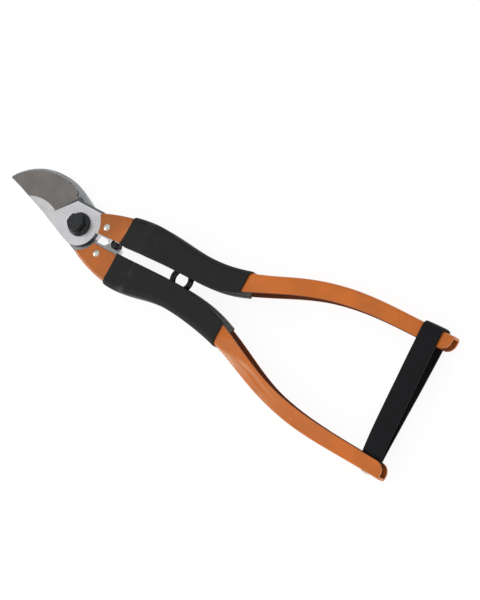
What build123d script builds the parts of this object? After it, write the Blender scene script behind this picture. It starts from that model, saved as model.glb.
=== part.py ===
from build123d import *
from math import acos, atan2, cos, degrees, radians, sin
import os

# Bypass pruning shears, closed. X runs back from the pivot along the handles, Y towards the
# handle that carries the cutting blade, Z up out of the pivot bolt's head. The tool lies on its
# rear side: Z = 0 is the plane that the pivot nut and the backs of the sleeves rest on.

# heights
slide_z = 7.8            # where the two blades slide on each other
blade_t = 3.0            # cutting blade
hook_t = 3.5             # counter blade
slide_gap = 0.06
sheet = 1.5              # handle steel
sleeve_t = 1.05
mid_z = 7.8              # middle of the handles behind the head
mid_depth = 13.5         # channel depth under the sleeves
end_depth = 10.0         # channel depth at the ends

# pivot
heel_r = 12.6            # cutting blade's round heel
hook_heel_r = 13.0
head_clear_r = 14.8      # the handle walls are cut back to this radius
bush_r = 5.0
bolt_r = 3.0
hex_af = 10.0            # hexagons of the bolt's head and of the nut
bolt_flange_r = 7.1
bolt_head_h = 6.0
nut_flange_r = 6.5
nut_h = 3.3
washer_r = 7.0
washer_t = 1.0

# handles, along X
flare_x = (40, 51)       # squeezed on the tangs up to here, full depth from here
taper_x = (125, 175)
end_x = 238
sleeve_x = (31.5, 117)
bend_r = 2.2
upper_crown = [(11, 12.3), (30, 17.7), (47, 19.9), (80, 18), (97, 18.1), (120, 22.7),
               (150, 33.8), (180, 40.1), (210, 41.2), (end_x, 41.7)]
upper_lip = [(5, 0.3), (31, 1.6), (60, 3.6), (85, 4.0), (105, 6.3), (120, 11.2),
             (160, 26.5), (180, 30.5), (210, 32.2), (end_x, 32.8)]
lower_crown = [(4.5, -15.4), (24, -21.4), (40, -22.7), (58, -19.6), (68, -17.9), (97, -18.8),
               (120, -23.3), (150, -33.8), (180, -40.2), (210, -41.4), (end_x, -41.8)]
lower_lip = [(5, -5.0), (31, -5.3), (60, -4.3), (85, -4.2), (105, -7.0), (120, -11.8),
             (160, -27.3), (180, -31), (210, -32.9), (end_x, -33.6)]

# grind of the cutting blade: a hollow ring around this centre
grind_c = (-31, -24)
grind_in_r = 26.8
edge_r = 44
edge_t = 0.4

# tang rivets
rivet_r = 1.6
rivet_head_r = 2.15
rivet_x = (18.6, 36.0)
upper_rivet_y = (6.0, 10.0)
lower_rivet_y = (-10.0, -13.5)

# bumper between the tangs
bumper_c = (27.6, -1.0)
bumper_r = 2.1

# spring
wire_r = 1.1
coil_c = (76.6, 0.0)
coil_r = 5.8
coil_pitch = 2.5
pin_x = 52
pin_y = 8.0
pin_r = 1.2
eye_r = 2.4

# strap
strap_w = 12.0
strap_t = 1.7
strap_x = 228.5
strap_lean = 2.2         # degrees: its lower end is further back than its upper end
mouth_y = -33.5
strap_top_y = 42.1


def prism(face, z0, z1):
    return Pos(0, 0, z0) * extrude(face, z1 - z0)


def disc(r, z0, z1, at=(0, 0)):
    return Pos(at[0], at[1], z0) * Cylinder(r, z1 - z0, align=(Align.CENTER, Align.CENTER, Align.MIN))


def box(x0, x1, y0, y1, z0, z1):
    return Pos((x0 + x1) / 2, (y0 + y1) / 2, (z0 + z1) / 2) * Box(x1 - x0, y1 - y0, z1 - z0)


def half_space(origin, along, normal):
    return Plane(origin=origin, x_dir=along, z_dir=normal) * Box(
        300, 300, 80, align=(Align.CENTER, Align.CENTER, Align.MIN)
    )


def parallel(points, distance):
    # points of a curve that runs beside a spline, distance to its left
    curve = Spline(*points)
    shifted = []
    for i in range(31):
        at = curve @ (i / 30)
        way = curve % (i / 30)
        shifted.append((at.X - way.Y * distance, at.Y + way.X * distance))
    return shifted


def handle_plan(crown, lip):
    # crown is the outer edge, lip the edge that faces the other handle
    return make_face(Spline(*crown) + Spline(*lip) + Line(crown[0], lip[0]) + Line(crown[-1], lip[-1]))


def stretched(points, front, back):
    # straight run-outs at both ends
    first = (points[0][0] - front, points[0][1] - front * 0.28 * (1 if points[0][1] > 0 else -1))
    return [first] + points + [(points[-1][0] + back, points[-1][1])]


def height_profile(low, high, inset):
    # the handle seen from the side: thin on the tang, deeper under the hand, thinner to the end
    def edge(head, sign):
        full = mid_z + sign * (mid_depth / 2 - inset)
        end = mid_z + sign * (end_depth / 2 - inset)
        head = head - sign * inset
        fm = (flare_x[0] + flare_x[1]) / 2
        tm = (taper_x[0] + taper_x[1]) / 2
        line = Line((-10, head), (flare_x[0], head))
        line += Bezier((flare_x[0], head), (fm, head), (fm, full), (flare_x[1], full))
        line += Line((flare_x[1], full), (taper_x[0], full))
        line += Bezier((taper_x[0], full), (tm, full), (tm, end), (taper_x[1], end))
        line += Line((taper_x[1], end), (300, end))
        return line, head, end

    top, top_head, top_end = edge(high, 1)
    bottom, bottom_head, bottom_end = edge(low, -1)
    ends = Line((-10, bottom_head), (-10, top_head)) + Line((300, bottom_end), (300, top_end))
    face = Plane.XZ * make_face(top + bottom + ends)
    return extrude(face, 100, both=True)


def round_crown(solid, crown, radius):
    # the long bends between the outer edge and the two walls
    on_crown = Vertex(crown[3][0], crown[3][1], mid_z)
    crown_face = min(solid.faces(), key=lambda f: f.distance_to(on_crown))
    return fillet(crown_face.edges().filter_by(Axis.Z, reverse=True), radius)


def handle_block(crown, lip, low, high):
    plan = handle_plan(crown, lip)
    solid = prism(plan, 0, 20) & height_profile(low, high, 0)
    return round_crown(solid, crown, bend_r)


def handle_hollow(crown, lip, low, high, side):
    # the room inside the channel, open towards the other handle and at both ends
    inner_crown = parallel(stretched(crown, 12, 15), -sheet * side)
    open_lip = [(x, y - 6 * side) for x, y in stretched(lip, 6, 15)]
    return prism(handle_plan(inner_crown, open_lip), 0, 20) & height_profile(low, high, sheet)


def handle(crown, lip, low, high, side):
    shell = handle_block(crown, lip, low, high) - handle_hollow(crown, lip, low, high, side)
    shell -= disc(head_clear_r, -5, 25)
    # rounded corners of the open end, on the side towards the other handle
    end_edges = [e for e in shell.edges() if e.center().X > end_x - 0.2]
    corner = [e for e in end_edges if abs(e.center().Y - lip[-1][1]) < 0.2]
    return fillet(corner, 5.5)


def sleeve(crown, lip, low, high, side):
    plan = handle_plan(parallel(crown, sleeve_t * side), parallel(lip, -sleeve_t * side))
    skin = prism(plan, -2, 20) & height_profile(low, high, -sleeve_t)
    skin = round_crown(skin, crown, bend_r + sleeve_t)
    skin &= box(sleeve_x[0], sleeve_x[1], -60, 60, -2, 20)
    core = handle_block(crown, lip, low, high)
    open_lip = [(x, y - 6 * side) for x, y in lip]
    mouth = prism(handle_plan(crown, open_lip), 0, 20) & height_profile(low, high, sheet)
    return skin - core - mouth


def cutting_blade():
    z0 = slide_z + slide_gap
    z1 = slide_z + blade_t
    outline = ThreePointArc((-60.8, 6.4), (-32, 19.9), (-10, 14.6))
    outline += Line((-10, 14.6), (-6.8, 12.9))
    outline += Line((-6.8, 12.9), (10.7, 12.9))
    outline += Line((10.7, 12.9), (10.7, 9.4))
    outline += Line((10.7, 9.4), (30, 15.2))
    outline += Line((30, 15.2), (40, 16.4))
    outline += Line((40, 16.4), (40, 4.5))
    outline += Line((40, 4.5), (31, 3.0))
    outline += Line((31, 3.0), (31, 1.2))
    outline += Line((31, 1.2), (25.4, 1.2))
    outline += Line((25.4, 1.2), (25.2, -1.5))
    outline += Line((25.2, -1.5), (23.8, -1.5))
    outline += Line((23.8, -1.5), (21.5, 0.2))
    outline += Line((21.5, 0.2), (heel_r, 0))
    outline += RadiusArc((heel_r, 0), (-4.3, -11.85), heel_r)
    outline += Spline((-4.3, -11.85), (-10, -10), (-30, -3), (-40, 0), (-50, 2.7), (-60.8, 5.2))
    outline += Line((-60.8, 5.2), (-60.8, 6.4))
    blade = prism(make_face(outline), z0, z1)
    # hollow grind, ending in a sloped run-out in front of the pivot
    profile = Line((grind_in_r, z1), (grind_in_r, z1 + 3))
    profile += Line((grind_in_r, z1 + 3), (edge_r + 8, z1 + 3))
    profile += Line((edge_r + 8, z1 + 3), (edge_r + 8, z0 + edge_t))
    profile += Line((edge_r + 8, z0 + edge_t), (edge_r, z0 + edge_t))
    profile += ThreePointArc((edge_r, z0 + edge_t), (36, z1 - 1.7), (grind_in_r, z1))
    ring = Pos(grind_c[0], grind_c[1], 0) * revolve(Plane.XZ * make_face(profile), Axis.Z)
    blade -= ring & half_space((-19, 1, z1), (10.5, 11, 0), (-11, 10.5, 15.2))
    # bevel along the back edge beside the pivot
    back = half_space((0, 11.6, z1), (1, 0, 0), (0, 1.5, 1.3))
    blade -= back & box(-13, 10.65, 0, 20, 0, 20)
    blade -= disc(bush_r + 0.03, 0, 20)
    for x, y in zip(rivet_x, upper_rivet_y):
        blade -= disc(rivet_r, 0, 20, (x, y))
    return blade


def counter_blade():
    z0 = slide_z - hook_t
    back = [(-60.5, 7.4), (-52, 14.8), (-42, 19.4), (-30, 21.4), (-20, 20.6), (-10, 17.4)]
    bite = [(-10, -6), (-11.5, 0), (-18, 7.5), (-32, 11.9), (-48, 10.6), (-60.5, 6.2)]
    outline = Spline(*back, (0, hook_heel_r))
    outline += RadiusArc((0, hook_heel_r), (12.3, -4.2), hook_heel_r)
    outline += Line((12.3, -4.2), (20, -3.9))
    outline += Line((20, -3.9), (22, -1.6))
    outline += Line((22, -1.6), (31.3, -1.6))
    outline += Line((31.3, -1.6), (31.6, -6))
    outline += Line((31.6, -6), (40, -7))
    outline += Line((40, -7), (40, -20.6))
    outline += Line((40, -20.6), (33, -20.5))
    outline += Line((33, -20.5), (24.4, -19.2))
    outline += Line((24.4, -19.2), (5.6, -12.9))
    outline += Line((5.6, -12.9), (4.2, -15.2))
    outline += Line((4.2, -15.2), (-3, -12.65))
    outline += Spline((-3, -12.65), *bite)
    outline += Line((-60.5, 6.2), (-60.5, 7.4))
    hook = prism(make_face(outline), z0, slide_z)
    hook -= disc(bush_r, 0, 20)
    hook -= disc(bumper_r, 0, 20, bumper_c)
    for x, y in zip(rivet_x, lower_rivet_y):
        hook -= disc(rivet_r, 0, 20, (x, y))
    return hook


def upright_cone(r0, r1, z0, z1):
    up = (Align.CENTER, Align.CENTER, Align.MIN)
    return Pos(0, 0, z0) * Cone(r0, r1, z1 - z0, align=up)


def hexagon(z0, z1, top_r, turn):
    # its top corners are turned off in a cone that leaves a round face of top_r
    across = RegularPolygon(hex_af / 2, 6, major_radius=False)
    turned = upright_cone(top_r + (z1 - z0) * 1.6, top_r, z0, z1)
    return Rot(0, 0, turn) * (prism(across, z0, z1) & turned)


def pivot_bolt():
    # flanged hexagon head on the cutting blade, closed on top, and the shank through both blades
    z0 = slide_z + blade_t + 0.04
    z1 = z0 + bolt_head_h
    flange = disc(bolt_flange_r, z0, z0 + 1.1)
    skirt = upright_cone(bolt_flange_r, hex_af / 2, z0 + 1.1, z0 + 2.2)
    head = flange + skirt + hexagon(z0 + 1.1, z1, hex_af / 2 - 0.1, 17)
    return head + disc(bolt_r, nut_h - 2.4, z0)


def pivot_nut():
    # blind, with its flange against the washer and its closed face down
    body = disc(nut_flange_r, nut_h - 0.9, nut_h)
    below = hexagon(0, nut_h - 0.9, hex_af / 2 - 0.1, 0)
    body += Pos(0, 0, nut_h - 0.9) * Rot(180, 0, 0) * below
    return body - disc(bolt_r, nut_h - 2.4, nut_h)


def rivets(xs, ys, z0, z1):
    # shanks through both walls and the tang: low heads outside, flush where the sleeve covers them
    group = []
    for at in zip(xs, ys):
        shank = disc(rivet_r, z0, z1, at)
        if at[0] < sleeve_x[0]:
            shank += low_dome(rivet_head_r, z1, 0.9, at, 1) + low_dome(rivet_head_r, z0, 0.9, at, -1)
        group.append(shank)
    return group


def low_dome(r, z, h, at, up):
    ball_r = (r * r + h * h) / (2 * h)
    cap = Pos(0, 0, (h - ball_r) * up) * Sphere(ball_r)
    return Pos(at[0], at[1], z) * (cap & disc(r, min(0, h * up), max(0, h * up)))


def spring_half(side, z):
    # one turn of the ring, a straight leg off its outer side, and an eye round the pin
    gap = Vector(pin_x - coil_c[0], side * pin_y - coil_c[1])
    turn = degrees(acos((coil_r - eye_r) / gap.length))
    toward_pin = degrees(atan2(gap.Y, gap.X))
    meet = toward_pin - turn * side
    out = Vector(cos(radians(meet)), sin(radians(meet)))
    leg_start = Vector(*coil_c) + out * coil_r
    leg_end = Vector(pin_x, side * pin_y) + out * eye_r
    path = CenterArc(coil_c, coil_r, meet - 330 * side, 330 * side)
    path += Line(leg_start, leg_end)
    path += CenterArc((pin_x, side * pin_y), eye_r, meet, 300 * side)
    path = Pos(0, 0, z) * path
    return sweep(Plane(origin=path @ 0, z_dir=path % 0) * Circle(wire_r), path=path)


def spring_pin(side):
    half = mid_depth / 2 - 0.1
    return disc(pin_r, mid_z - half, mid_z + half, (pin_x, side * pin_y))


def bumper():
    z0 = slide_z - hook_t
    body = disc(bumper_r, z0, slide_z + blade_t - 0.1, bumper_c)
    return chamfer(body.edges().group_by(Axis.Z)[-1], 0.3)


def strap_loop():
    # a flat band over the end of the upper handle, both layers running down to the lower one
    inner_half = end_depth / 2 + 0.25
    outer_half = inner_half + strap_t
    foot_out = 3.2
    foot_in = foot_out - strap_t
    waist = mouth_y + 12
    shoulder = strap_top_y - 9
    crest = strap_top_y + strap_t
    outer = Line((mouth_y, foot_out), (waist, outer_half - 1.6))
    outer += Line((waist, outer_half - 1.6), (shoulder, outer_half))
    outer += Line((shoulder, outer_half), (strap_top_y, outer_half))
    turn = (strap_top_y + strap_t * 0.7, inner_half + strap_t * 0.7)
    outer += ThreePointArc((strap_top_y, outer_half), turn, (crest, inner_half))
    inner = Line((mouth_y, foot_in), (waist, inner_half - 1.6))
    inner += Line((waist, inner_half - 1.6), (shoulder, inner_half))
    inner += Line((shoulder, inner_half), (strap_top_y, inner_half))
    ends = Line((mouth_y, foot_out), (mouth_y, foot_in))
    ends += Line((strap_top_y, inner_half), (strap_top_y, 0))
    ends += Line((strap_top_y, 0), (crest, 0))
    ends += Line((crest, 0), (crest, inner_half))
    half = extrude(Plane.YZ * make_face(outer + inner + ends), strap_w / 2, both=True)
    band = half + mirror(half, Plane.XY)
    return Pos(strap_x, mouth_y, mid_z) * Rot(0, 0, strap_lean) * Pos(0, -mouth_y, 0) * band


def strap_tail():
    # the two ends, laid together inside the lower channel and bent onto its web
    body = box(-strap_w / 2, strap_w / 2, -40.0, mouth_y - 0.6, -1.7, 1.7)
    foot = box(-strap_w / 2, strap_w / 2, -39.9, -38.0, -3.2, 3.2)
    return Pos(strap_x, 0, mid_z) * (body + foot - y_disc(1.5, -42, -30, 0, 0))


def y_disc(r, y0, y1, x, z):
    return Pos(x, y0, z) * Rot(-90, 0, 0) * disc(r, 0, y1 - y0)


def strap_rivet():
    shank = y_disc(1.5, -41.7, -36.4, strap_x, mid_z)
    head = Pos(strap_x, -41.65, mid_z) * Rot(90, 0, 0) * low_dome(3.0, 0, 0.9, (0, 0), 1)
    return shank + head


groups = {}
upper = (upper_crown, upper_lip, slide_z - sheet, slide_z + blade_t + sheet, 1)
lower = (lower_crown, lower_lip, slide_z - hook_t - sheet, slide_z + sheet, -1)
upper_pin = spring_pin(1)
lower_pin = spring_pin(-1)
upper_rivets = rivets(rivet_x, upper_rivet_y, upper[2], upper[3])
lower_rivets = rivets(rivet_x, lower_rivet_y, lower[2], lower[3])
rivet_holes = [disc(rivet_r, 0, 20, at) for at in zip(rivet_x * 2, upper_rivet_y + lower_rivet_y)]

groups["cutting_blade"] = cutting_blade()
groups["counter_blade"] = counter_blade()
groups["upper_handle"] = handle(*upper) - rivet_holes[0] - rivet_holes[1] - upper_pin
groups["lower_handle"] = handle(*lower) - rivet_holes[2] - rivet_holes[3] - lower_pin
groups["lower_handle"] -= y_disc(1.5, -50, -36, strap_x, mid_z)
groups["upper_sleeve"] = sleeve(*upper)
groups["lower_sleeve"] = sleeve(*lower)
groups["pivot_bush"] = disc(bush_r, slide_z - hook_t, slide_z + blade_t) - disc(bolt_r, 0, 20)
groups["pivot_washer"] = disc(washer_r, nut_h, nut_h + washer_t) - disc(bolt_r, 0, 20)
groups["pivot_bolt"] = pivot_bolt()
groups["pivot_nut"] = pivot_nut()
groups["upper_tang_rivets"] = Compound(children=upper_rivets)
groups["lower_tang_rivets"] = Compound(children=lower_rivets)
groups["tang_bumper"] = bumper()
groups["spring_front_half"] = spring_half(1, mid_z + coil_pitch / 2)
groups["spring_rear_half"] = spring_half(-1, mid_z - coil_pitch / 2)
groups["upper_spring_pin"] = upper_pin
groups["lower_spring_pin"] = lower_pin
groups["strap_loop"] = strap_loop()
groups["strap_tail"] = strap_tail()
groups["strap_rivet"] = strap_rivet()

os.makedirs("parts", exist_ok=True)
for name, shape in groups.items():
    export_step(shape, "parts/" + name + ".step")
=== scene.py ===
import bpy
import math
from mathutils import Matrix, Vector, noise


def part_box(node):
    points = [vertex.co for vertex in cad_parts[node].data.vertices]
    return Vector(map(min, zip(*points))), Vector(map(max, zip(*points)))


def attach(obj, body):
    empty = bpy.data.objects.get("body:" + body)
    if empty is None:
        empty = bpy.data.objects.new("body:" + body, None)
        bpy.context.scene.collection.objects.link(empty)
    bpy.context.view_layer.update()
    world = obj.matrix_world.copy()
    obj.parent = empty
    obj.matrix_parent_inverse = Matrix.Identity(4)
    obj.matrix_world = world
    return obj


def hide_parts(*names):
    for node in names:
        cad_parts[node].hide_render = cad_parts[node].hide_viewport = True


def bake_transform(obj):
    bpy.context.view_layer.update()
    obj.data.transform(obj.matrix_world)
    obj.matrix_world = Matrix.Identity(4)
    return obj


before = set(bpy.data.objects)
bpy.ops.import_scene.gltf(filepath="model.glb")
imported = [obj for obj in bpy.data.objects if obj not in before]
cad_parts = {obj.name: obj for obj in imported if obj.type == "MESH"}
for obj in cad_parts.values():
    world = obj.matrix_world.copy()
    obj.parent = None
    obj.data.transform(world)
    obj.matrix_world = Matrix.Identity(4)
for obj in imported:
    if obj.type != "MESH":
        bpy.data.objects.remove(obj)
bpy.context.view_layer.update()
scene = bpy.context.scene
scene.view_settings.view_transform = "Standard"


# ---- Camera: stands over the handles' side and looks down on the closed shears, turned so that
# the blades point to the upper left.
look_at = Vector((0.11528, 0.00569, 0.0078))
tilt = math.radians(28.5)
roll = math.radians(28.4)
distance = 0.932

back = Vector((math.sin(tilt), 0, math.cos(tilt)))
along = Vector((math.cos(tilt), 0, -math.sin(tilt)))
across = back.cross(along)
right = along * math.cos(roll) + across * math.sin(roll)
up = across * math.cos(roll) - along * math.sin(roll)
camera = bpy.data.objects.new("camera", bpy.data.cameras.new("camera"))
camera.data.sensor_width = 36
camera.data.lens = 101.8
camera.data.clip_start = 0.01
turned = Matrix((right, up, back)).transposed().to_4x4()
camera.matrix_world = Matrix.Translation(look_at + back * distance) @ turned
scene.collection.objects.link(camera)
scene.camera = camera


# ---- Studio: a white light table, so that the shears hardly cast a shadow, under an even pale
# room that is a little darker towards the horizon, and two plain softboxes.
def linear(hex_code):
    """An sRGB hex colour as the linear colour, with alpha, that a socket takes."""
    parts = [int(hex_code[i:i + 2], 16) / 255 for i in (0, 2, 4)]
    curve = [c / 12.92 if c <= 0.04045 else ((c + 0.055) / 1.055) ** 2.4 for c in parts]
    return (*curve, 1.0)


def new_material(name):
    material = bpy.data.materials.new(name)
    material.use_nodes = True
    material.node_tree.nodes.clear()
    return material


def add(material, kind, links=None, **settings):
    """Adds one node. Settings are its properties or its input sockets, and links are the sockets
    that it reads, by name or by number."""
    node = material.node_tree.nodes.new(kind)
    for key, value in settings.items():
        if hasattr(node, key):
            setattr(node, key, value)
        else:
            node.inputs[key.replace("_", " ")].default_value = value
    for key, (source, output) in (links or {}).items():
        material.node_tree.links.new(source.outputs[output], node.inputs[key])
    return node


bpy.ops.object.select_all(action="DESELECT")
bpy.ops.mesh.primitive_plane_add(size=60, location=(0.1, 0, 0))
floor = bpy.context.object
floor.name = "light_table"
opal = new_material("white_opal_acrylic")
panel = add(opal, "ShaderNodeBsdfPrincipled", Base_Color=linear("6A6A6A"), Roughness=0.9,
            Emission_Color=(1, 1, 1, 1), Emission_Strength=0.9, Specular_IOR_Level=0.0)
add(opal, "ShaderNodeOutputMaterial", links={"Surface": (panel, "BSDF")})
floor.data.materials.append(opal)

room = bpy.data.worlds.new("pale_room")
room.use_nodes = True
room.node_tree.nodes.clear()
room_place = add(room, "ShaderNodeTexCoord")
room_height = add(room, "ShaderNodeSeparateXYZ", links={"Vector": (room_place, "Generated")})
room_light = add(room, "ShaderNodeMapRange", links={"Value": (room_height, "Z")},
                 From_Min=0.0, From_Max=0.8, To_Min=0.42, To_Max=0.8)
room_shade = add(room, "ShaderNodeBackground", links={"Strength": (room_light, "Result")},
                 Color=(1, 1, 1, 1))
add(room, "ShaderNodeOutputWorld", links={"Surface": (room_shade, "Background")})
scene.world = room


def softbox(name, at, size, watts):
    light = bpy.data.lights.new(name, "AREA")
    light.shape = "RECTANGLE"
    light.size, light.size_y = size
    light.energy = watts
    lamp = bpy.data.objects.new(name, light)
    lamp.location = at
    lamp.rotation_euler = (look_at - Vector(at)).to_track_quat("-Z", "Y").to_euler()
    scene.collection.objects.link(lamp)


softbox("key_softbox", at=(-0.36, -0.16, 0.95), size=(0.34, 0.3), watts=0.35)
softbox("edge_softbox", at=(-0.72, -0.58, 0.36), size=(0.5, 0.08), watts=3.0)


# ---- Cutting blade: the front plate, carbon steel, stamped and surface ground, then hollow ground
# on a wheel, which leaves its fore part dark and scored across. Its side faces behind the honed part
# are a darker grey. Two rivets hold its tang in the upper handle.
blade_top = 0.0108
grind_centre = Vector((-0.031, -0.024, 0))
# the edges are honed from the tip back to here
honed_to_x = -0.0155
shoulder_x = 0.0107
shoulder_y = 0.0115
# faces that turn less than this are one flat
flat_angle = math.radians(0.3)


def working_copy(node, name):
    """A piece with the shape of a CAD node: its loose triangles joined, and its flats made whole."""
    bpy.ops.object.select_all(action="DESELECT")
    piece = bpy.data.objects.new(name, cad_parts[node].data.copy())
    scene.collection.objects.link(piece)
    bpy.context.view_layer.objects.active = piece
    piece.select_set(True)
    piece.data.materials.clear()
    bpy.ops.object.mode_set(mode="EDIT")
    bpy.ops.mesh.select_all(action="SELECT")
    bpy.ops.mesh.remove_doubles(threshold=0.000001)
    bpy.ops.mesh.dissolve_limited(angle_limit=flat_angle)
    bpy.ops.object.mode_set(mode="OBJECT")
    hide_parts(node)
    return piece


def modify(piece, kind, **settings):
    """Adds one modifier and applies it."""
    modifier = piece.modifiers.new(kind.lower(), kind)
    for key, value in settings.items():
        setattr(modifier, key, value)
    bpy.ops.object.select_all(action="DESELECT")
    piece.select_set(True)
    bpy.context.view_layer.objects.active = piece
    bpy.ops.object.modifier_apply(modifier=modifier.name)


def drop_slivers():
    """Joins what is closer than 3 microns in the active piece, and removes faces with no area."""
    bpy.ops.object.mode_set(mode="EDIT")
    bpy.ops.mesh.select_all(action="SELECT")
    bpy.ops.mesh.remove_doubles(threshold=0.000003)
    bpy.ops.mesh.dissolve_degenerate(threshold=0.000003)
    bpy.ops.object.mode_set(mode="OBJECT")


def soften(piece, width, segments=2):
    """Breaks the sharp edges to a small radius, and shades the result."""
    modify(piece, "BEVEL", width=width, segments=segments, limit_method="ANGLE",
           angle_limit=math.radians(32), use_clamp_overlap=False)
    drop_slivers()
    bpy.ops.object.shade_smooth_by_angle(angle=math.radians(28))
    modify(piece, "WEIGHTED_NORMAL", keep_sharp=True)


def zone(piece, material, chosen):
    """Gives a finish to the faces that chosen(centre, normal) picks."""
    piece.data.materials.append(material)
    index = len(piece.data.materials) - 1
    for face in piece.data.polygons:
        if chosen(face.center, face.normal):
            face.material_index = index


# a Mix node's sockets: its two colours, and the colour it gives
colour_a = 6
colour_b = 7
colour_out = 2


# Surface ground carbon steel: light grey, fine scratches lengthwise, faint cloudy handling marks.
def ground_steel(name, pale, dark, streaks, roughness):
    """Ground steel. streaks is the scratches' share of its mottling, from 0 to 1."""
    steel = new_material(name)
    place = add(steel, "ShaderNodeTexCoord")
    # scratches 0.5 mm apart, as coarse as they need to show, and 25 mm long
    lengthwise = add(steel, "ShaderNodeMapping", links={"Vector": (place, "Object")},
                     Scale=(40, 2000, 400))
    scratches = add(steel, "ShaderNodeTexNoise", links={"Vector": (lengthwise, "Vector")},
                    Scale=1.0, Detail=4.0, Roughness=0.7)
    clouds = add(steel, "ShaderNodeTexNoise", links={"Vector": (place, "Object")},
                 Scale=110.0, Detail=3.0, Roughness=0.6)
    mixed = add(steel, "ShaderNodeMix", data_type="FLOAT", Factor=streaks,
                links={"A": (clouds, "Fac"), "B": (scratches, "Fac")})
    spread = add(steel, "ShaderNodeMapRange", links={"Value": (mixed, "Result")},
                 From_Min=0.36, From_Max=0.64)
    tone = add(steel, "ShaderNodeMix", data_type="RGBA", links={"Factor": (spread, "Result")})
    tone.inputs[colour_a].default_value = linear(dark)
    tone.inputs[colour_b].default_value = linear(pale)
    gloss = add(steel, "ShaderNodeMapRange", links={"Value": (scratches, "Fac")},
                To_Min=roughness - 0.08, To_Max=roughness + 0.08)
    relief = add(steel, "ShaderNodeBump", links={"Height": (scratches, "Fac")},
                 Strength=0.5, Distance=0.00002)
    shade = add(steel, "ShaderNodeBsdfPrincipled", Metallic=1.0, links={
        "Base Color": (tone, colour_out), "Roughness": (gloss, "Result"),
        "Normal": (relief, "Normal")})
    add(steel, "ShaderNodeOutputMaterial", links={"Surface": (shade, "BSDF")})
    return steel


# Hollow grind: dark, dull steel, scored from the back to the edge by the wheel's grit.
wheel_ground = new_material("wheel_ground_steel")
place = add(wheel_ground, "ShaderNodeTexCoord")
centred = add(wheel_ground, "ShaderNodeVectorMath", operation="SUBTRACT",
              links={"Vector": (place, "Object")})
centred.inputs[1].default_value = grind_centre
spot = add(wheel_ground, "ShaderNodeSeparateXYZ", links={"Vector": (centred, "Vector")})
bearing = add(wheel_ground, "ShaderNodeMath", operation="ARCTAN2",
              links={0: (spot, "Y"), 1: (spot, "X")})
reach = add(wheel_ground, "ShaderNodeVectorMath", operation="LENGTH",
            links={"Vector": (centred, "Vector")})
swept = add(wheel_ground, "ShaderNodeCombineXYZ",
            links={"X": (bearing, "Value"), "Y": (reach, "Value")})
# 36 mm from the grind's centre, a score 0.4 mm wide turns through 0.011 radians
fan = add(wheel_ground, "ShaderNodeMapping", links={"Vector": (swept, "Vector")},
          Scale=(90, 60, 1))
scores = add(wheel_ground, "ShaderNodeTexNoise", links={"Vector": (fan, "Vector")},
             Scale=1.0, Detail=5.0, Roughness=0.75)
stain = add(wheel_ground, "ShaderNodeTexNoise", links={"Vector": (place, "Object")},
            Scale=70.0, Detail=3.0)
worn = add(wheel_ground, "ShaderNodeMix", data_type="FLOAT", Factor=0.5,
           links={"A": (scores, "Fac"), "B": (stain, "Fac")})
spread = add(wheel_ground, "ShaderNodeMapRange", links={"Value": (worn, "Result")},
             From_Min=0.35, From_Max=0.65)
tone = add(wheel_ground, "ShaderNodeMix", data_type="RGBA", links={"Factor": (spread, "Result")})
tone.inputs[colour_a].default_value = linear("767370")
tone.inputs[colour_b].default_value = linear("8F8B87")
relief = add(wheel_ground, "ShaderNodeBump", links={"Height": (scores, "Fac")},
             Strength=0.6, Distance=0.00003)
shade = add(wheel_ground, "ShaderNodeBsdfPrincipled", Metallic=1.0, Roughness=0.5, links={
    "Base Color": (tone, colour_out), "Normal": (relief, "Normal")})
add(wheel_ground, "ShaderNodeOutputMaterial", links={"Surface": (shade, "BSDF")})

plate_steel = ground_steel("ground_carbon_steel", "D8D8DA", "C2C2C5", streaks=0.5, roughness=0.34)
dark_edge_steel = ground_steel("dark_grey_steel_edge", "787C80", "5A5E62", streaks=0.3, roughness=0.55)
honed_steel = ground_steel("honed_edge_steel", "E6E6E8", "C8C8CA", streaks=0.6, roughness=0.3)

blade = working_copy("cutting_blade", "cutting_blade_plate")
# the bevel on its back runs out in a sliver at the shoulder of the tang: closed up to the corner
for vertex in blade.data.vertices:
    if shoulder_x - 0.0001 < vertex.co.x < shoulder_x and vertex.co.y > shoulder_y:
        vertex.co.x = shoulder_x
bpy.ops.object.mode_set(mode="EDIT")
bpy.ops.mesh.select_all(action="SELECT")
bpy.ops.mesh.remove_doubles(threshold=0.00001)
bpy.ops.mesh.dissolve_degenerate(threshold=0.00001)
bpy.ops.mesh.dissolve_limited(angle_limit=flat_angle)
bpy.ops.object.mode_set(mode="OBJECT")
soften(blade, width=0.00012)
zone(blade, plate_steel, lambda at, normal: True)
# the grind lies below the plate's face
zone(blade, wheel_ground, lambda at, normal: normal.z > 0.9 and at.z < blade_top - 0.00003)
zone(blade, dark_edge_steel, lambda at, normal: abs(normal.z) < 0.9 and at.x > honed_to_x)
zone(blade, honed_steel, lambda at, normal: abs(normal.z) < 0.9 and at.x <= honed_to_x)
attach(blade, "upper_half")


# ---- Counter blade: the hooked rear plate, the same steel, surface ground and left with coarse
# bright streaks. Its tang is as smooth as the cutting blade, and two rivets hold it in the lower
# handle.
tang_from_x = 0.0125
hook_steel = ground_steel("coarse_ground_steel", "AEAFB0", "74767A", streaks=0.75, roughness=0.38)
hook_edge_steel = ground_steel("sheared_edge_steel", "ABAEB0", "85888B", streaks=0.3, roughness=0.5)
hook = working_copy("counter_blade", "counter_blade_plate")
soften(hook, width=0.0002)
zone(hook, hook_steel, lambda at, normal: True)
zone(hook, hook_edge_steel, lambda at, normal: abs(normal.z) < 0.6)
zone(hook, plate_steel, lambda at, normal: at.x > tang_from_x)
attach(hook, "lower_half")


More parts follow.
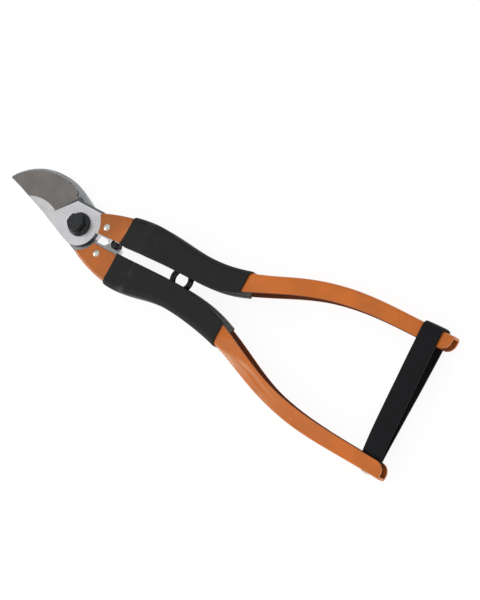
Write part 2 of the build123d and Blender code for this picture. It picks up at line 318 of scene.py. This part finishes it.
# ---- Pivot: a flanged hexagon bolt, cold headed and blackened, through a bronze bush, with a plain
# zinc plated washer and a blind nut behind the counter blade.
def plain_metal(name, pale, dark, grain, roughness):
    """Bare or plated metal, mottled at the size of its grain, in metres."""
    metal = new_material(name)
    place = add(metal, "ShaderNodeTexCoord")
    mottle = add(metal, "ShaderNodeTexNoise", links={"Vector": (place, "Object")},
                 Scale=1 / grain, Detail=4.0, Roughness=0.65)
    spread = add(metal, "ShaderNodeMapRange", links={"Value": (mottle, "Fac")},
                 From_Min=0.35, From_Max=0.65)
    tone = add(metal, "ShaderNodeMix", data_type="RGBA", links={"Factor": (spread, "Result")})
    tone.inputs[colour_a].default_value = linear(dark)
    tone.inputs[colour_b].default_value = linear(pale)
    gloss = add(metal, "ShaderNodeMapRange", links={"Value": (mottle, "Fac")},
                To_Min=roughness - 0.1, To_Max=roughness + 0.1)
    relief = add(metal, "ShaderNodeBump", links={"Height": (mottle, "Fac")},
                 Strength=0.4, Distance=grain * 0.04)
    shade = add(metal, "ShaderNodeBsdfPrincipled", Metallic=1.0, links={
        "Base Color": (tone, colour_out), "Roughness": (gloss, "Result"),
        "Normal": (relief, "Normal")})
    add(metal, "ShaderNodeOutputMaterial", links={"Surface": (shade, "BSDF")})
    return metal


def finish_node(node, material):
    """Gives a finish to a CAD node that stays as it is."""
    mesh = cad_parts[node].data
    mesh.materials.clear()
    mesh.materials.append(material)


# Black oxide: nearly black, slightly blue, oily, a little uneven.
black_oxide = plain_metal("black_oxide_steel", "434547", "2D2F30", grain=0.0012, roughness=0.42)
# Zinc plate: pale grey and faintly spangled.
zinc = plain_metal("bright_zinc_plate", "C9CBC8", "A4A7A4", grain=0.0015, roughness=0.35)
# Bronze: warm yellow brown, dulled by oil.
bronze = plain_metal("turned_bronze", "C49A5A", "96703A", grain=0.001, roughness=0.4)

bolt = working_copy("pivot_bolt", "flanged_pivot_bolt")
soften(bolt, width=0.00035, segments=3)
zone(bolt, black_oxide, lambda at, normal: True)
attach(bolt, "lower_half")

nut = working_copy("pivot_nut", "blind_pivot_nut")
soften(nut, width=0.00025)
zone(nut, black_oxide, lambda at, normal: True)
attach(nut, "lower_half")

washer = working_copy("pivot_washer", "plain_washer")
soften(washer, width=0.0001)
zone(washer, zinc, lambda at, normal: True)
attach(washer, "lower_half")
finish_node("pivot_bush", bronze)


# ---- Handles: channels pressed from 1.5 mm sheet steel, squeezed flat on the tangs, open towards
# each other and at their ends, stove enamelled orange. Inside, the coat is dull, and its dark colour
# is painted shade.
channel_mid = 0.0078
web_from_x = 0.017
sleeve_front = 0.0315
sleeve_back = 0.117
# a painted sheen in pale streaks on the lower handle, between these two places and below this height
sheen_from_x = 0.122
sheen_to_x = 0.175
sheen_below_y = -0.022


def enamel(name, pale, deep, roughness, coat, shade_at_open_end=None, painted_sheen=None):
    """Orange enamel. The optional end colour lightens the painted shade inside towards the handles'
    open ends, and the optional streak colour is a painted sheen, in streaks between the lower sleeve
    and the strap."""
    paint = new_material(name)
    place = add(paint, "ShaderNodeTexCoord")
    # orange peel 1.2 mm across, and slow changes of tone 15 mm across
    peel = add(paint, "ShaderNodeTexNoise", links={"Vector": (place, "Object")},
               Scale=850.0, Detail=2.0, Roughness=0.5)
    drift = add(paint, "ShaderNodeTexNoise", links={"Vector": (place, "Object")},
                Scale=65.0, Detail=3.0, Roughness=0.55)
    # the coat is deeper in colour on the heads, and paler towards the handles' ends
    spot = add(paint, "ShaderNodeSeparateXYZ", links={"Vector": (place, "Object")})
    from_head = add(paint, "ShaderNodeMapRange", links={"Value": (spot, "X")},
                    From_Min=0.03, From_Max=0.13, To_Min=0.38, To_Max=0.62)
    both_tones = add(paint, "ShaderNodeMix", data_type="FLOAT", Factor=0.6,
                     links={"A": (drift, "Fac"), "B": (from_head, "Result")})
    spread = add(paint, "ShaderNodeMapRange", links={"Value": (both_tones, "Result")},
                 From_Min=0.38, From_Max=0.62)
    tone = shade_of_coat = add(paint, "ShaderNodeMix", data_type="RGBA",
                               links={"Factor": (spread, "Result")})
    tone.inputs[colour_a].default_value = linear(deep)
    tone.inputs[colour_b].default_value = linear(pale)
    # painted shade inside the channel, lighter towards the open ends, where more light reaches in
    if shade_at_open_end:
        # which it reaches over the last 10 mm
        to_end = add(paint, "ShaderNodeMapRange", links={"Value": (spot, "X")},
                     From_Min=0.228, From_Max=0.236)
        tone = add(paint, "ShaderNodeMix", data_type="RGBA",
                   links={"Factor": (to_end, "Result"), colour_a: (shade_of_coat, colour_out)})
        tone.inputs[colour_b].default_value = linear(shade_at_open_end)
    # painted sheen: pale streaks on the lower handle, standing in for the lights' reflection there
    if painted_sheen:
        fades = add(paint, "ShaderNodeMapRange", links={"Value": (spot, "X")},
                    From_Min=sheen_to_x, From_Max=sheen_from_x)
        on_lower = add(paint, "ShaderNodeMapRange", links={"Value": (spot, "Y")},
                       From_Min=sheen_below_y, From_Max=sheen_below_y - 0.002)
        # streaks 1.5 mm wide and 25 mm long, which run with the slope of the handle there
        sloped = add(paint, "ShaderNodeMapping", links={"Vector": (place, "Object")},
                     Rotation=(0, 0, math.radians(20)))
        drawn_out = add(paint, "ShaderNodeMapping", links={"Vector": (sloped, "Vector")},
                        Scale=(40, 600, 100))
        streaks = add(paint, "ShaderNodeTexNoise", links={"Vector": (drawn_out, "Vector")},
                      Scale=1.0, Detail=2.0)
        strong = add(paint, "ShaderNodeMapRange", links={"Value": (streaks, "Fac")},
                     From_Min=0.35, From_Max=0.62, To_Max=0.8)
        # none on the head, in front of the sleeve
        past_head = add(paint, "ShaderNodeMath", operation="GREATER_THAN",
                        links={"Value": (spot, "X")})
        past_head.inputs[1].default_value = 0.1
        on_shank = add(paint, "ShaderNodeMath", operation="MULTIPLY",
                       links={0: (fades, "Result"), 1: (on_lower, "Result")})
        past_sleeve = add(paint, "ShaderNodeMath", operation="MULTIPLY",
                          links={0: (on_shank, "Value"), 1: (past_head, "Value")})
        amount = add(paint, "ShaderNodeMath", operation="MULTIPLY",
                     links={0: (past_sleeve, "Value"), 1: (strong, "Result")})
        tone = add(paint, "ShaderNodeMix", data_type="RGBA",
                   links={"Factor": (amount, "Value"), colour_a: (shade_of_coat, colour_out)})
        tone.inputs[colour_b].default_value = linear(painted_sheen)
    gloss = add(paint, "ShaderNodeMapRange", links={"Value": (drift, "Fac")},
                To_Min=roughness - 0.08, To_Max=roughness + 0.08)
    relief = add(paint, "ShaderNodeBump", links={"Height": (peel, "Fac")},
                 Strength=0.35, Distance=0.00006)
    shade = add(paint, "ShaderNodeBsdfPrincipled", Coat_Weight=coat, Coat_Roughness=0.16,
                Specular_IOR_Level=0.35, links={
        "Base Color": (tone, colour_out), "Roughness": (gloss, "Result"),
        "Normal": (relief, "Normal")})
    add(paint, "ShaderNodeOutputMaterial", links={"Surface": (shade, "BSDF")})
    return paint


# the pale streak colour is a painted sheen
outer_enamel = enamel("orange_stove_enamel", "DA6F04", "AC5B06",
                      roughness=0.36, coat=0.3, painted_sheen="E6B48C")
# painted shade: the channels' inside is given a dark orange for the shade that falls there
channel_painted_shade = enamel("orange_enamel_with_painted_shade", "743404", "542402",
                      roughness=0.6, coat=0.0, shade_at_open_end="9A4E08")
edge_enamel = enamel("orange_enamel_on_cut_edge", "D98A4A", "C97430", roughness=0.42, coat=0.2)


def inside_channel(at, normal):
    """True on the walls' inner faces, which look at the channel's middle height."""
    return abs(normal.z) > 0.7 and (at.z - channel_mid) * normal.z < 0


def web_inside(side):
    """Tells the web's inner face, which looks at the other handle. side is 1 for the upper one."""
    return lambda at, normal: (
        normal.y * side < -0.6 and abs(normal.z) < 0.5 and at.x > web_from_x)


def cut_across(piece, x):
    """Divides the faces at x, so that a finish can end there."""
    bpy.ops.object.mode_set(mode="EDIT")
    bpy.ops.mesh.select_all(action="SELECT")
    bpy.ops.mesh.bisect(plane_co=(x, 0, 0), plane_no=(1, 0, 0))
    bpy.ops.object.mode_set(mode="OBJECT")
    drop_slivers()


channels = {}
for side, node, body in ((1, "upper_handle", "upper_half"), (-1, "lower_handle", "lower_half")):
    channel = working_copy(node, node + "_channel")
    soften(channel, width=0.00025)
    cut_across(channel, sleeve_front)
    cut_across(channel, sleeve_back)
    zone(channel, outer_enamel, lambda at, normal: True)
    zone(channel, edge_enamel, lambda at, normal: normal.x < -0.5 and abs(normal.z) < 0.3)
    # painted shade on the walls' inner faces and on the web's inner face
    zone(channel, channel_painted_shade, inside_channel)
    zone(channel, channel_painted_shade, web_inside(side))
    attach(channel, body)
    channels[body] = channel


# ---- Sleeves: soft black vinyl, dip moulded over the front half of each handle, open on the side
# that faces the other handle. They have shrunk on: the rims are soft and the skin dips a little.
def soft_black(name, pale, dark, grain, roughness, specular):
    """Rubber, leather and such: a dull black with a pebbled grain of that size, in metres."""
    stuff = new_material(name)
    place = add(stuff, "ShaderNodeTexCoord")
    pebbles = add(stuff, "ShaderNodeTexVoronoi", links={"Vector": (place, "Object")},
                  Scale=1 / grain)
    haze = add(stuff, "ShaderNodeTexNoise", links={"Vector": (place, "Object")},
               Scale=0.12 / grain, Detail=4.0, Roughness=0.6)
    spread = add(stuff, "ShaderNodeMapRange", links={"Value": (haze, "Fac")},
                 From_Min=0.3, From_Max=0.7)
    tone = add(stuff, "ShaderNodeMix", data_type="RGBA", links={"Factor": (spread, "Result")})
    tone.inputs[colour_a].default_value = linear(dark)
    tone.inputs[colour_b].default_value = linear(pale)
    gloss = add(stuff, "ShaderNodeMapRange", links={"Value": (haze, "Fac")},
                To_Min=roughness - 0.08, To_Max=roughness + 0.08)
    relief = add(stuff, "ShaderNodeBump", links={"Height": (pebbles, "Distance")},
                 Strength=0.4, Distance=grain * 0.15)
    shade = add(stuff, "ShaderNodeBsdfPrincipled", Specular_IOR_Level=specular, links={
        "Base Color": (tone, colour_out), "Roughness": (gloss, "Result"),
        "Normal": (relief, "Normal")})
    add(stuff, "ShaderNodeOutputMaterial", links={"Surface": (shade, "BSDF")})
    return stuff


# Dipped vinyl: black and soft, matt with a fine grain 0.4 mm across, rubbed a little paler and
# glossier in patches 11 mm across.
vinyl = new_material("dipped_black_vinyl")
place = add(vinyl, "ShaderNodeTexCoord")
grain = add(vinyl, "ShaderNodeTexNoise", links={"Vector": (place, "Object")},
            Scale=2600.0, Detail=3.0, Roughness=0.6)
patches = add(vinyl, "ShaderNodeTexNoise", links={"Vector": (place, "Object")},
              Scale=90.0, Detail=4.0, Roughness=0.6)
spread = add(vinyl, "ShaderNodeMapRange", links={"Value": (patches, "Fac")},
             From_Min=0.3, From_Max=0.7)
tone = add(vinyl, "ShaderNodeMix", data_type="RGBA", links={"Factor": (spread, "Result")})
tone.inputs[colour_a].default_value = linear("151515")
tone.inputs[colour_b].default_value = linear("1D1D1D")
gloss = add(vinyl, "ShaderNodeMapRange", links={"Value": (patches, "Fac")},
            To_Min=0.5, To_Max=0.66)
relief = add(vinyl, "ShaderNodeBump", links={"Height": (grain, "Fac")},
             Strength=0.35, Distance=0.00008)
shade = add(vinyl, "ShaderNodeBsdfPrincipled", Specular_IOR_Level=0.25, links={
    "Base Color": (tone, colour_out), "Roughness": (gloss, "Result"),
    "Normal": (relief, "Normal")})
add(vinyl, "ShaderNodeOutputMaterial", links={"Surface": (shade, "BSDF")})
# inside, the vinyl is painted pale grey: a painted sheen where its inner side catches the light
painted_sheen_vinyl = soft_black("painted_sheen_vinyl", "8C8A86", "6E6C69",
                           grain=0.0008, roughness=0.7, specular=0.3)

# each dip: where it is, how wide and how deep
upper_dips = [(Vector((0.053, 0.0115, 0.0156)), 0.0028, 0.0004),
              (Vector((0.062, 0.013, 0.0156)), 0.006, 0.0003)]
lower_dips = [(Vector((0.0475, -0.0125, 0.0156)), 0.0026, 0.0008),
              (Vector((0.056, -0.010, 0.0156)), 0.006, 0.0003)]
# the front rim's middle bows back by this much, over this length
upper_bow = 0.0009
lower_bow = 0.0004
rim_length = 0.014
sleeves = (("upper_sleeve", "upper_half", upper_dips, upper_bow),
           ("lower_sleeve", "lower_half", lower_dips, lower_bow))
for node, body, dips, bow in sleeves:
    low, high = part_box(node)
    middle = (low.y + high.y) / 2
    half = (high.y - low.y) / 2
    sleeve = working_copy(node, node + "_skin")
    modify(sleeve, "REMESH", mode="VOXEL", voxel_size=0.00045)
    modify(sleeve, "SMOOTH", factor=0.5, iterations=5)
    facing = [vertex.normal.z for vertex in sleeve.data.vertices]
    for vertex, normal_z in zip(sleeve.data.vertices, facing):
        at = vertex.co.copy()
        if (at.z - channel_mid) * normal_z > 0 and abs(normal_z) > 0.4:
            for centre, width, depth in dips:
                gap = (at - centre).to_2d().length
                at.z -= depth * math.exp(-(gap / width) ** 2) * normal_z
            # uneven by about 0.1 mm, in patches 8 mm across
            at.z -= 0.0001 * (1 + noise.noise(at * 130)) * normal_z
        near_rim = max(0, 1 - (at.x - sleeve_front) / rim_length)
        at.x += bow * near_rim ** 2 * (1 - ((at.y - middle) / half) ** 2)
        vertex.co = at
    bpy.ops.object.shade_smooth()
    side = 1 if body == "upper_half" else -1
    zone(sleeve, vinyl, lambda at, normal: True)
    # painted sheen on the sleeve's inner side, below the channel's middle
    zone(sleeve, painted_sheen_vinyl, lambda at, normal: at.z < channel_mid and (
        normal.y * side < -0.5 or normal.z > 0.5))
    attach(sleeve, body)
    # the channel's inside under the sleeve gets the same painted sheen
    zone(channels[body], painted_sheen_vinyl, lambda at, normal: sleeve_front < at.x < sleeve_back and (
        inside_channel(at, normal) or web_inside(side)(at, normal)))


# ---- Rivets and pins: bright steel rivets, their heads set into low domes, through each handle and
# its tang, and zinc plated pins across the channels that the spring hooks on.
# Rivet steel: bright and nearly white, with a trace of warmth.
rivet_steel = plain_metal("bright_rivet_steel", "E9E7DF", "C9C6BC", grain=0.0008, roughness=0.4)
for node, body in (("upper_tang_rivets", "upper_half"), ("lower_tang_rivets", "lower_half")):
    pair = working_copy(node, node + "_set")
    soften(pair, width=0.00006)
    zone(pair, rivet_steel, lambda at, normal: True)
    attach(pair, body)
for node in ("upper_spring_pin", "lower_spring_pin"):
    finish_node(node, zinc)


# ---- Bumper: a black rubber plug pressed through the counter blade's tang, which stops the
# handles softly as the blades close.
rubber = soft_black("black_nitrile_rubber", "222222", "161616",
                    grain=0.0004, roughness=0.6, specular=0.35)
plug = working_copy("tang_bumper", "rubber_bumper")
soften(plug, width=0.0004, segments=3)
zone(plug, rubber, lambda at, normal: True)
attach(plug, "lower_half")


# ---- Spring: black drawn wire, 2.2 mm thick, wound into a ring of two turns between the handles;
# its legs run into the channels and hook on the pins.
drawn_wire = plain_metal("black_drawn_wire", "3C3C3E", "262628", grain=0.0009, roughness=0.38)
for node in ("spring_front_half", "spring_rear_half"):
    finish_node(node, drawn_wire)


# ---- Strap: a flat black leather strap 12 mm wide, folded over the end of the upper handle. Both
# ends go into the lower channel, where one rivet holds them.
strap_at = 0.2285
strap_wide = 0.012
strap_thick = 0.0013
strap_lean = math.radians(2.2)
mouth_y = -0.0335
first_step = 0.0005
# centre line, as Y and height above the channel's middle: from the end in front, up over the upper
# handle and down to the end behind
path = [(-0.0386, 0.0008), (-0.0360, 0.0016), (-0.0335, 0.0026), (-0.0300, 0.0034),
        (-0.0200, 0.0045), (-0.0070, 0.0050), (0.0080, 0.0053), (0.0220, 0.0056),
        (0.0300, 0.0058), (0.0360, 0.0058), (0.0395, 0.0058), (0.0414, 0.0051),
        (0.0423, 0.0036), (0.0425, 0.0018), (0.0425, 0.0), (0.0425, -0.0018),
        (0.0423, -0.0036), (0.0414, -0.0051), (0.0395, -0.0058), (0.0360, -0.0058),
        (0.0300, -0.0058), (0.0220, -0.0050), (0.0080, -0.0035), (-0.0070, -0.0019),
        (-0.0200, -0.0003), (-0.0300, 0.0007), (-0.0335, 0.0010), (-0.0360, 0.0002),
        (-0.0386, -0.0008)]

# Dyed leather: black with a trace of blue, pebbled, dull.
leather = soft_black("black_strap_leather", "141518", "0B0C0F",
                     grain=0.0007, roughness=0.6, specular=0.17)
bpy.ops.object.select_all(action="DESELECT")
first_y, first_z = path[0]
start_y = first_y - first_step
bpy.ops.mesh.primitive_plane_add(size=1, location=(strap_at, start_y, channel_mid + first_z))
strap = bpy.context.object
strap.name = "leather_strap"
bpy.ops.object.mode_set(mode="EDIT")
bpy.ops.transform.resize(value=(strap_wide, 2 * first_step, 1),
                         center_override=(strap_at, start_y, 0))
bpy.ops.mesh.select_mode(type="EDGE")
bpy.ops.mesh.select_all(action="DESELECT")
bpy.ops.object.mode_set(mode="OBJECT")
bpy.ops.object.transform_apply(location=True, rotation=True, scale=True)
for edge in strap.data.edges:
    edge.select = all(strap.data.vertices[v].co.y > first_y - 0.00001 for v in edge.vertices)
bpy.ops.object.mode_set(mode="EDIT")
for (y0, z0), (y1, z1) in zip(path, path[1:]):
    bpy.ops.mesh.extrude_edges_move(TRANSFORM_OT_translate={"value": (0, y1 - y0, z1 - z0)})
bpy.ops.mesh.select_all(action="SELECT")
bpy.ops.mesh.normals_make_consistent(inside=False)
bpy.ops.object.mode_set(mode="OBJECT")
modify(strap, "SOLIDIFY", thickness=strap_thick, offset=0)
modify(strap, "BEVEL", width=0.0004, segments=2, limit_method="ANGLE",
       angle_limit=math.radians(60))
modify(strap, "SUBSURF", levels=2, render_levels=2)
# worn slightly wavy, along its faces and its edges
for vertex in strap.data.vertices:
    vertex.co.z += 0.00015 * noise.noise(vertex.co * 90)
    vertex.co.x += 0.0001 * noise.noise(vertex.co * 60)
bpy.ops.object.mode_set(mode="EDIT")
bpy.ops.mesh.select_all(action="SELECT")
bpy.ops.transform.rotate(value=-strap_lean, orient_axis="Z",
                         center_override=(strap_at, mouth_y, 0))
bpy.ops.object.mode_set(mode="OBJECT")
bpy.ops.object.shade_smooth()
zone(strap, leather, lambda at, normal: True)
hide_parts("strap_loop", "strap_tail")
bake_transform(strap)

strap_stud = working_copy("strap_rivet", "domed_strap_rivet")
soften(strap_stud, width=0.00006)
zone(strap_stud, rivet_steel, lambda at, normal: True)
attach(strap_stud, "lower_half")
